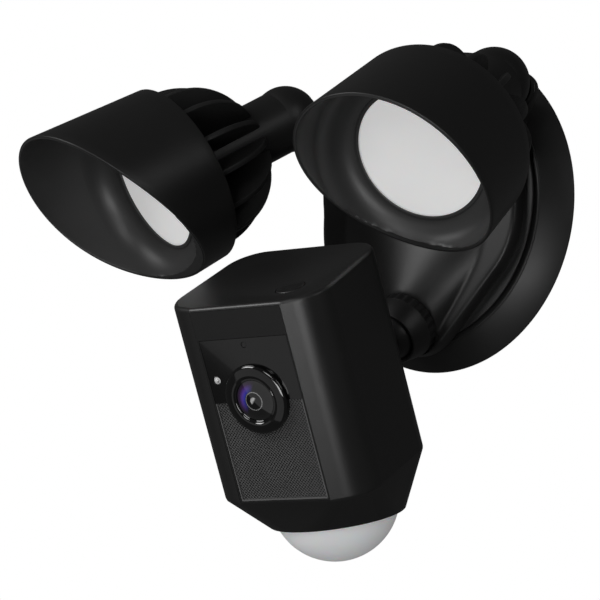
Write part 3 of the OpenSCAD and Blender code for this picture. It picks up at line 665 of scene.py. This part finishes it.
def make_bezel():
    """Lens ring that runs out in a bowl to the wall of the hood."""
    bowl = [(32.5 + 12.35 * math.sin(t), LENS_Z + 1.2 + 15 * (1 - math.cos(t)))
            for t in (math.radians(90 * i / 18) for i in range(19))]
    profile = [(30.1, LENS_Z + 1.35), (30.15, LENS_Z + 1.6), (30.4, LENS_Z + 1.75), (31.6, LENS_Z + 1.75),
               (31.9, LENS_Z + 1.6), (32.05, LENS_Z + 1.25)] + bowl
    profile += [(43.5, LENS_Z - 6), (41.2, LENS_Z - 6), (41.2, LENS_Z - 2), (34.7, LENS_Z - 2), (34.7, LENS_Z - 6),
                (33.3, LENS_Z - 6), (33.3, LENS_Z - 2.3), (31.5, LENS_Z - 2.3), (31.5, LENS_Z + 1.3)]
    bm = revolve(profile, 144)
    for v in bm.verts:
        v.co.z = min(v.co.z, REACH + hood_length(v.co.y) - 0.4)
    holed = cut(bm, *[cylinder(1.5, LENS_Z - 8, LENS_Z - 1, Matrix.Rotation(math.radians(60 + 120 * i), 4, "Z")
                              @ Matrix.Translation((37.85, 0, 0)), 24) for i in range(3)])
    # Every face of the bezel is marked, so all of it gets the painted lens light.
    return mark_painted_lens_light(holed, lambda v: True)


def make_lens():
    """Shallow crowned diffuser."""
    ball = (31.3 ** 2 + 2.2 ** 2) / 4.4
    top = LENS_Z + 2.2
    crown = [(31.3 * i / 14, top - ball + math.sqrt(ball ** 2 - (31.3 * i / 14) ** 2)) for i in range(15)]
    return revolve([(0, LENS_Z - 3.2), *crown, (31.3, LENS_Z - 3.2)], 120)


def make_lamps():
    for side in SIDES:
        body = side + "_lamp"
        piece(side + "_hood", make_hood(), LAMP[side], body, "lamp_plastic", [side + "_hood"], 40)
        piece(side + "_heat_sink", make_fins(), LAMP[side], body, "cast_aluminium", [side + "_heat_sink"])
        piece(side + "_bezel", make_bezel(), LAMP[side], body, "lamp_plastic", [side + "_bezel"], 40)
        piece(side + "_lens", make_lens(), LAMP[side], body, "lens_white", [side + "_lens"])


# ---- Camera head ----

FACE_W, HEAD_TOP, HEAD_LOW, HEAD_DEEP = 48.6, 47.6, 45.4, 69.7
HEAD_WALL = 2.2
SLOPE = math.atan(0.06)
RIM = Matrix.Translation((0, 35.6, -67)) @ Matrix.Rotation(math.radians(-10), 4, "X")
TOP = Matrix.Translation((0, 0, HEAD_TOP)) @ Matrix.Rotation(SLOPE, 4, "X")
BUTTON = TOP @ Matrix.Translation((20, 17, 0))
EYE_LOCAL = Matrix.Translation((0, 0, 4.3)) @ FACE_TURN
EYE = HEAD @ EYE_LOCAL


def head_outline(inset):
    """Outline of the head from above: flat face, round front corners, tapered sides and round back."""
    c1, c2 = Vector((41 - 16.5, 17.5)), Vector((39.25 - 16, HEAD_DEEP - 16))
    d, r1, r2 = c2 - c1, 16.5 - inset, 16 - inset
    lean = math.degrees(math.atan2(d.y, d.x)) - 90 + math.degrees(math.asin((r1 - r2) / d.length))
    half = [(FACE_W / 2, inset)] + arc(c1, r1, -86, lean, 26) + arc(c2, r2, lean, 90, 26)
    return [Vector((x, y, 0)) for x, y in half] + [Vector((-x, y, 0)) for x, y in reversed(half)]


def head_skin(inset=0.0, edge=2.0):
    """Body of the head: rounded top edge, straight sides, and a taper down to the rim of the dome."""
    points = []
    for x, z in arc((0, 0), edge, 0, 90, 5):
        ring = TOP @ Matrix.Translation((0, 0, z - edge - inset))
        points += [ring @ p for p in head_outline(inset + edge - x)]
    for drop, more in ((-1.0, 0.0), (0.0, 0.25)):
        points += [p + Vector((0, 0, -HEAD_LOW + inset - drop)) for p in head_outline(inset + more)]
    for height, more in ((1.0, 0.0), (0.3, 0.12), (0.0, 0.5)):
        points += [RIM @ p for p in ring_points(((0, 0), 31.5), height + 2 * inset, inset + more, 96)]
    return wrap(points)


def make_shell():
    face_hole = block((-FACE_W / 2, -6, -44.7), (FACE_W / 2, 6, 46.2))
    stem_hole = cylinder(5.05, 0, 20, Matrix.Translation((0, HEAD_DEEP + 10, -BALL_RISE)) @ FACE_TURN, 48)
    return cut(head_skin(), head_skin(HEAD_WALL), face_hole, cylinder(29.8, -1, 11, RIM),
               stem_hole, cylinder(6.85, -6, 4, BUTTON, 72))


def make_grille():
    """Perforated sheet: a diagonal grid of square holes, trimmed to its opening."""
    bm = bmesh.new()
    cells, pitch, wire = 60, 1.15, 0.32
    bmesh.ops.create_grid(bm, x_segments=cells, y_segments=cells, size=cells * pitch / 2)
    bmesh.ops.rotate(bm, verts=bm.verts, matrix=Matrix.Rotation(math.radians(45), 3, "Z"))
    holes = bm.faces[:]
    bmesh.ops.inset_individual(bm, faces=holes, thickness=wire / 2, depth=0)
    bmesh.ops.delete(bm, geom=holes, context="FACES")
    wide, low, high = 23.1, -43.6, 2.9
    middle = (low + high) / 2
    for spot, way in (((wide, 0, 0), (1, 0, 0)), ((-wide, 0, 0), (-1, 0, 0)), ((0, high - middle, 0), (0, 1, 0)),
                      ((0, low - middle, 0), (0, -1, 0))):
        bmesh.ops.bisect_plane(bm, geom=bm.verts[:] + bm.edges[:] + bm.faces[:], plane_co=spot, plane_no=way,
                               clear_outer=True, dist=0.0001)
    eye = Vector((0, 4.3 - middle))
    inner = [f for f in bm.faces if (f.calc_center_median().xy - eye).length < 14.8]
    bmesh.ops.delete(bm, geom=inner, context="FACES")
    bmesh.ops.recalc_face_normals(bm, faces=bm.faces)
    bmesh.ops.solidify(bm, geom=bm.faces[:], thickness=0.5)
    bm.transform(Matrix.Translation((0, 0.75, middle)) @ FACE_TURN)
    edge = [block((-23.25, 0.2, low - 0.15), (23.25, 1.3, low + 0.5))]
    edge += [block((-23.25, 0.2, low), (-22.7, 1.3, high)), block((22.7, 0.2, low), (23.25, 1.3, high))]
    return join(bm, *edge)


def make_eye_housing():
    """Gloss boss round the camera, stepping down to the front glass."""
    return revolve([(16, -1.4), (16, 1.1), (15.85, 1.6), (15.3, 2.1), (14.6, 2.35), (12.6, 2.7), (11.4, 2.8),
                    (10.9, 2.7), (10.6, 2.3), (10.3, 2.15), (9.9, 2.3), (9.7, 2.35), (9.5, 2.2), (9.4, 1.7),
                    (8.0, 1.7), (8.0, -7.9), (13.8, -8.0), (13.8, -1.45)], 128)


def make_eye_barrel():
    """Lens barrel behind the front glass."""
    return revolve([(7.9, -8), (7.9, 1.4), (7.7, 1.6), (7.1, 1.6), (6.7, 1.3), (6.7, -3.5), (3.2, -3.5), (3.2, -8)])


def make_eye_glass():
    """Domed front glass of the camera."""
    ball = (9.3 ** 2 + 1.25 ** 2) / 2.5
    face = [(9.3 * i / 16, 3.25 - ball + math.sqrt(ball ** 2 - (9.3 * i / 16) ** 2)) for i in range(17)]
    return revolve([(0, 1.75), *face, (9.3, 1.75)], 96)


def make_dome():
    """Frosted bowl with its seating band."""
    ball = (28 ** 2 + 20.2 ** 2) / (2 * 20.2)
    lift = ball - 20.2
    reach = math.degrees(math.asin(lift / ball))
    outer = arc((0, lift), ball, -90, -reach, 26)
    inner = arc((0, lift), ball - 1.4, -reach - 4, -90, 24)
    return revolve([*outer, (28, 2.7), (27.7, 3.0), (25.9, 3.0), (25.8, 2.6), *inner], 120)


def make_dome_ring():
    """Retaining ring of the dome."""
    return revolve([(28.15, 0.25), (28.4, 0.0), (29.4, 0.0), (29.65, 0.25), (29.65, 5.2), (29.4, 5.5), (26.0, 5.5),
                    (26.0, 3.2), (28.15, 3.2)], 120)


def make_button():
    """Setup button: dished cap with a raised ring and a finger dimple."""
    return revolve([(0, -0.1), (1.0, -0.09), (1.5, 0.0), (1.8, 0.02), (2.1, -0.06), (4.6, 0.02), (5.3, 0.2),
                    (5.8, 0.3), (6.2, 0.26), (6.45, 0.05), (6.5, -0.3), (6.5, -3.9), (8.1, -3.9), (8.1, -5.2),
                    (2, -5.2), (2, -7), (0, -7)], 96)


def make_head():
    piece("head_shell", make_shell(), HEAD, "head", "head_plastic", ["head_shell"], 8)
    piece("speaker_grille", make_grille(), HEAD, "head", "grille", ["speaker_grille"])
    piece("speaker_cloth", block((-23.2, 1.32, -43.7), (23.2, 1.55, 3.0)), HEAD, "head", "rubber")
    piece("eye_housing", make_eye_housing(), EYE, "head", "gloss_window", ["eye_housing"])
    piece("lens_barrel", make_eye_barrel(), EYE, "head", "component", ["lens_barrel"])
    piece("eye_lens", make_eye_glass(), EYE, "head", "eye_glass", ["eye_lens"])
    piece("motion_dome", make_dome(), HEAD @ RIM, "head", "dome_white", ["motion_dome"])
    piece("dome_ring", make_dome_ring(), HEAD @ RIM, "head", "head_plastic", ["dome_ring"])
    piece("setup_button", make_button(), HEAD @ BUTTON, "setup_button", "head_plastic", ["setup_button"])


# ---- Studio ----

def make_camera():
    az, el, roll = (math.radians(a) for a in (42.5365822, -7.94465779, 0.617293828))
    back = Vector((math.sin(az) * math.cos(el), -math.cos(az) * math.cos(el), math.sin(el)))
    right = Vector((math.cos(az), math.sin(az), 0))
    up = back.cross(right)
    spot = Vector((0, -0.08, 0)) + right * -0.0156983792 + up * -0.0516351815 + back * 1.26614036
    data = bpy.data.cameras.new("camera")
    data.sensor_width, data.lens = 36, 163.504652
    data.clip_start, data.clip_end = 0.05, 30
    camera = bpy.data.objects.new("camera", data)
    bpy.context.collection.objects.link(camera)
    camera.matrix_world = Matrix.Translation(spot) @ Matrix((
        right * math.cos(roll) + up * math.sin(roll), up * math.cos(roll) - right * math.sin(roll), back,
    )).transposed().to_4x4()
    bpy.context.scene.camera = camera


def make_light(name, spot, aim, width, height, power):
    data = bpy.data.lights.new(name, "AREA")
    data.shape, data.size, data.size_y, data.energy = "RECTANGLE", width, height, power
    light = bpy.data.objects.new(name, data)
    bpy.context.collection.objects.link(light)
    light.location = spot
    light.rotation_euler = (Vector(aim) - Vector(spot)).to_track_quat("-Z", "Y").to_euler()


def make_window_card():
    """Dim card whose straight edge is mirrored across the polished window."""
    eye = bpy.context.scene.camera.matrix_world.translation
    face = (HEAD.to_3x3() @ Vector((0, -1, 0))).normalized()
    corner, below, lit = (HEAD @ Vector(p) for p in ((-23, 0, 32), (13, 0, -5), (22, 0, 30)))
    middle = (corner + below) / 2
    away = (middle - eye).normalized().reflect(face)
    spots = []
    for p in (corner, below, lit):
        ray = (p - eye).normalized().reflect(face)
        spots.append(p + ray * ((middle + away * 0.8 - p).dot(away) / ray.dot(away)))
    along = (spots[1] - spots[0]).normalized()
    inward = spots[2] - spots[0]
    inward = (inward - along * inward.dot(along)).normalized()
    data = bpy.data.lights.new("card", "AREA")
    data.shape, data.size, data.size_y, data.energy = "RECTANGLE", 1.2, 0.6, 0.55
    card = bpy.data.objects.new("card", data)
    bpy.context.collection.objects.link(card)
    card.matrix_world = Matrix.Translation((spots[0] + spots[1]) / 2 + inward * 0.3) @ Matrix((
        inward.cross(away), inward, away)).transposed().to_4x4()


def make_studio():
    floor = bmesh.new()
    bmesh.ops.create_grid(floor, x_segments=1, y_segments=1, size=25)
    mesh = bpy.data.meshes.new("floor")
    floor.to_mesh(mesh)
    floor.free()
    mesh.materials.append(pale_floor("pale_floor"))
    ground = bpy.data.objects.new("floor", mesh)
    ground.location = (0, 0, -0.75)
    ground.visible_glossy = ground.visible_diffuse = False
    bpy.context.collection.objects.link(ground)

    world = bpy.data.worlds.new("studio")
    world.use_nodes = True
    tree = world.node_tree
    shade = tree.nodes["Background"]
    shade.inputs["Color"].default_value = grey(1.0)
    sight = tree.nodes.new("ShaderNodeLightPath")
    level = tree.nodes.new("ShaderNodeMapRange")
    level.inputs["To Min"].default_value, level.inputs["To Max"].default_value = 0.06, 1.0
    tree.links.new(sight.outputs["Is Camera Ray"], level.inputs["Value"])
    tree.links.new(level.outputs["Result"], shade.inputs["Strength"])
    bpy.context.scene.world = world
    bpy.context.scene.view_settings.view_transform = "Standard"

    make_light("key", (-0.9, -1.7, 1.0), (0, -0.08, 0), 0.9, 0.9, 21)
    make_light("front", (0.7, -2.0, 0.3), (0, -0.1, -0.02), 0.7, 0.7, 7)
    make_light("right", (1.8, -0.4, 0.5), (0, -0.1, -0.02), 0.5, 1.0, 3)
    make_light("low", (0.5, -1.2, -0.65), (0, -0.1, -0.1), 0.6, 0.5, 6)
    make_window_card()


def dress_frame():
    """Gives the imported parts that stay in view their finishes."""
    for node in frame["nodes"].values():
        for place in node.material_slots:
            place.material = FINISH[place.material.name.split(".")[0]]


FINISH = make_finishes()
dress_frame()
make_camera()
make_studio()
make_base()
make_ball_joint()
make_lamps()
make_head()
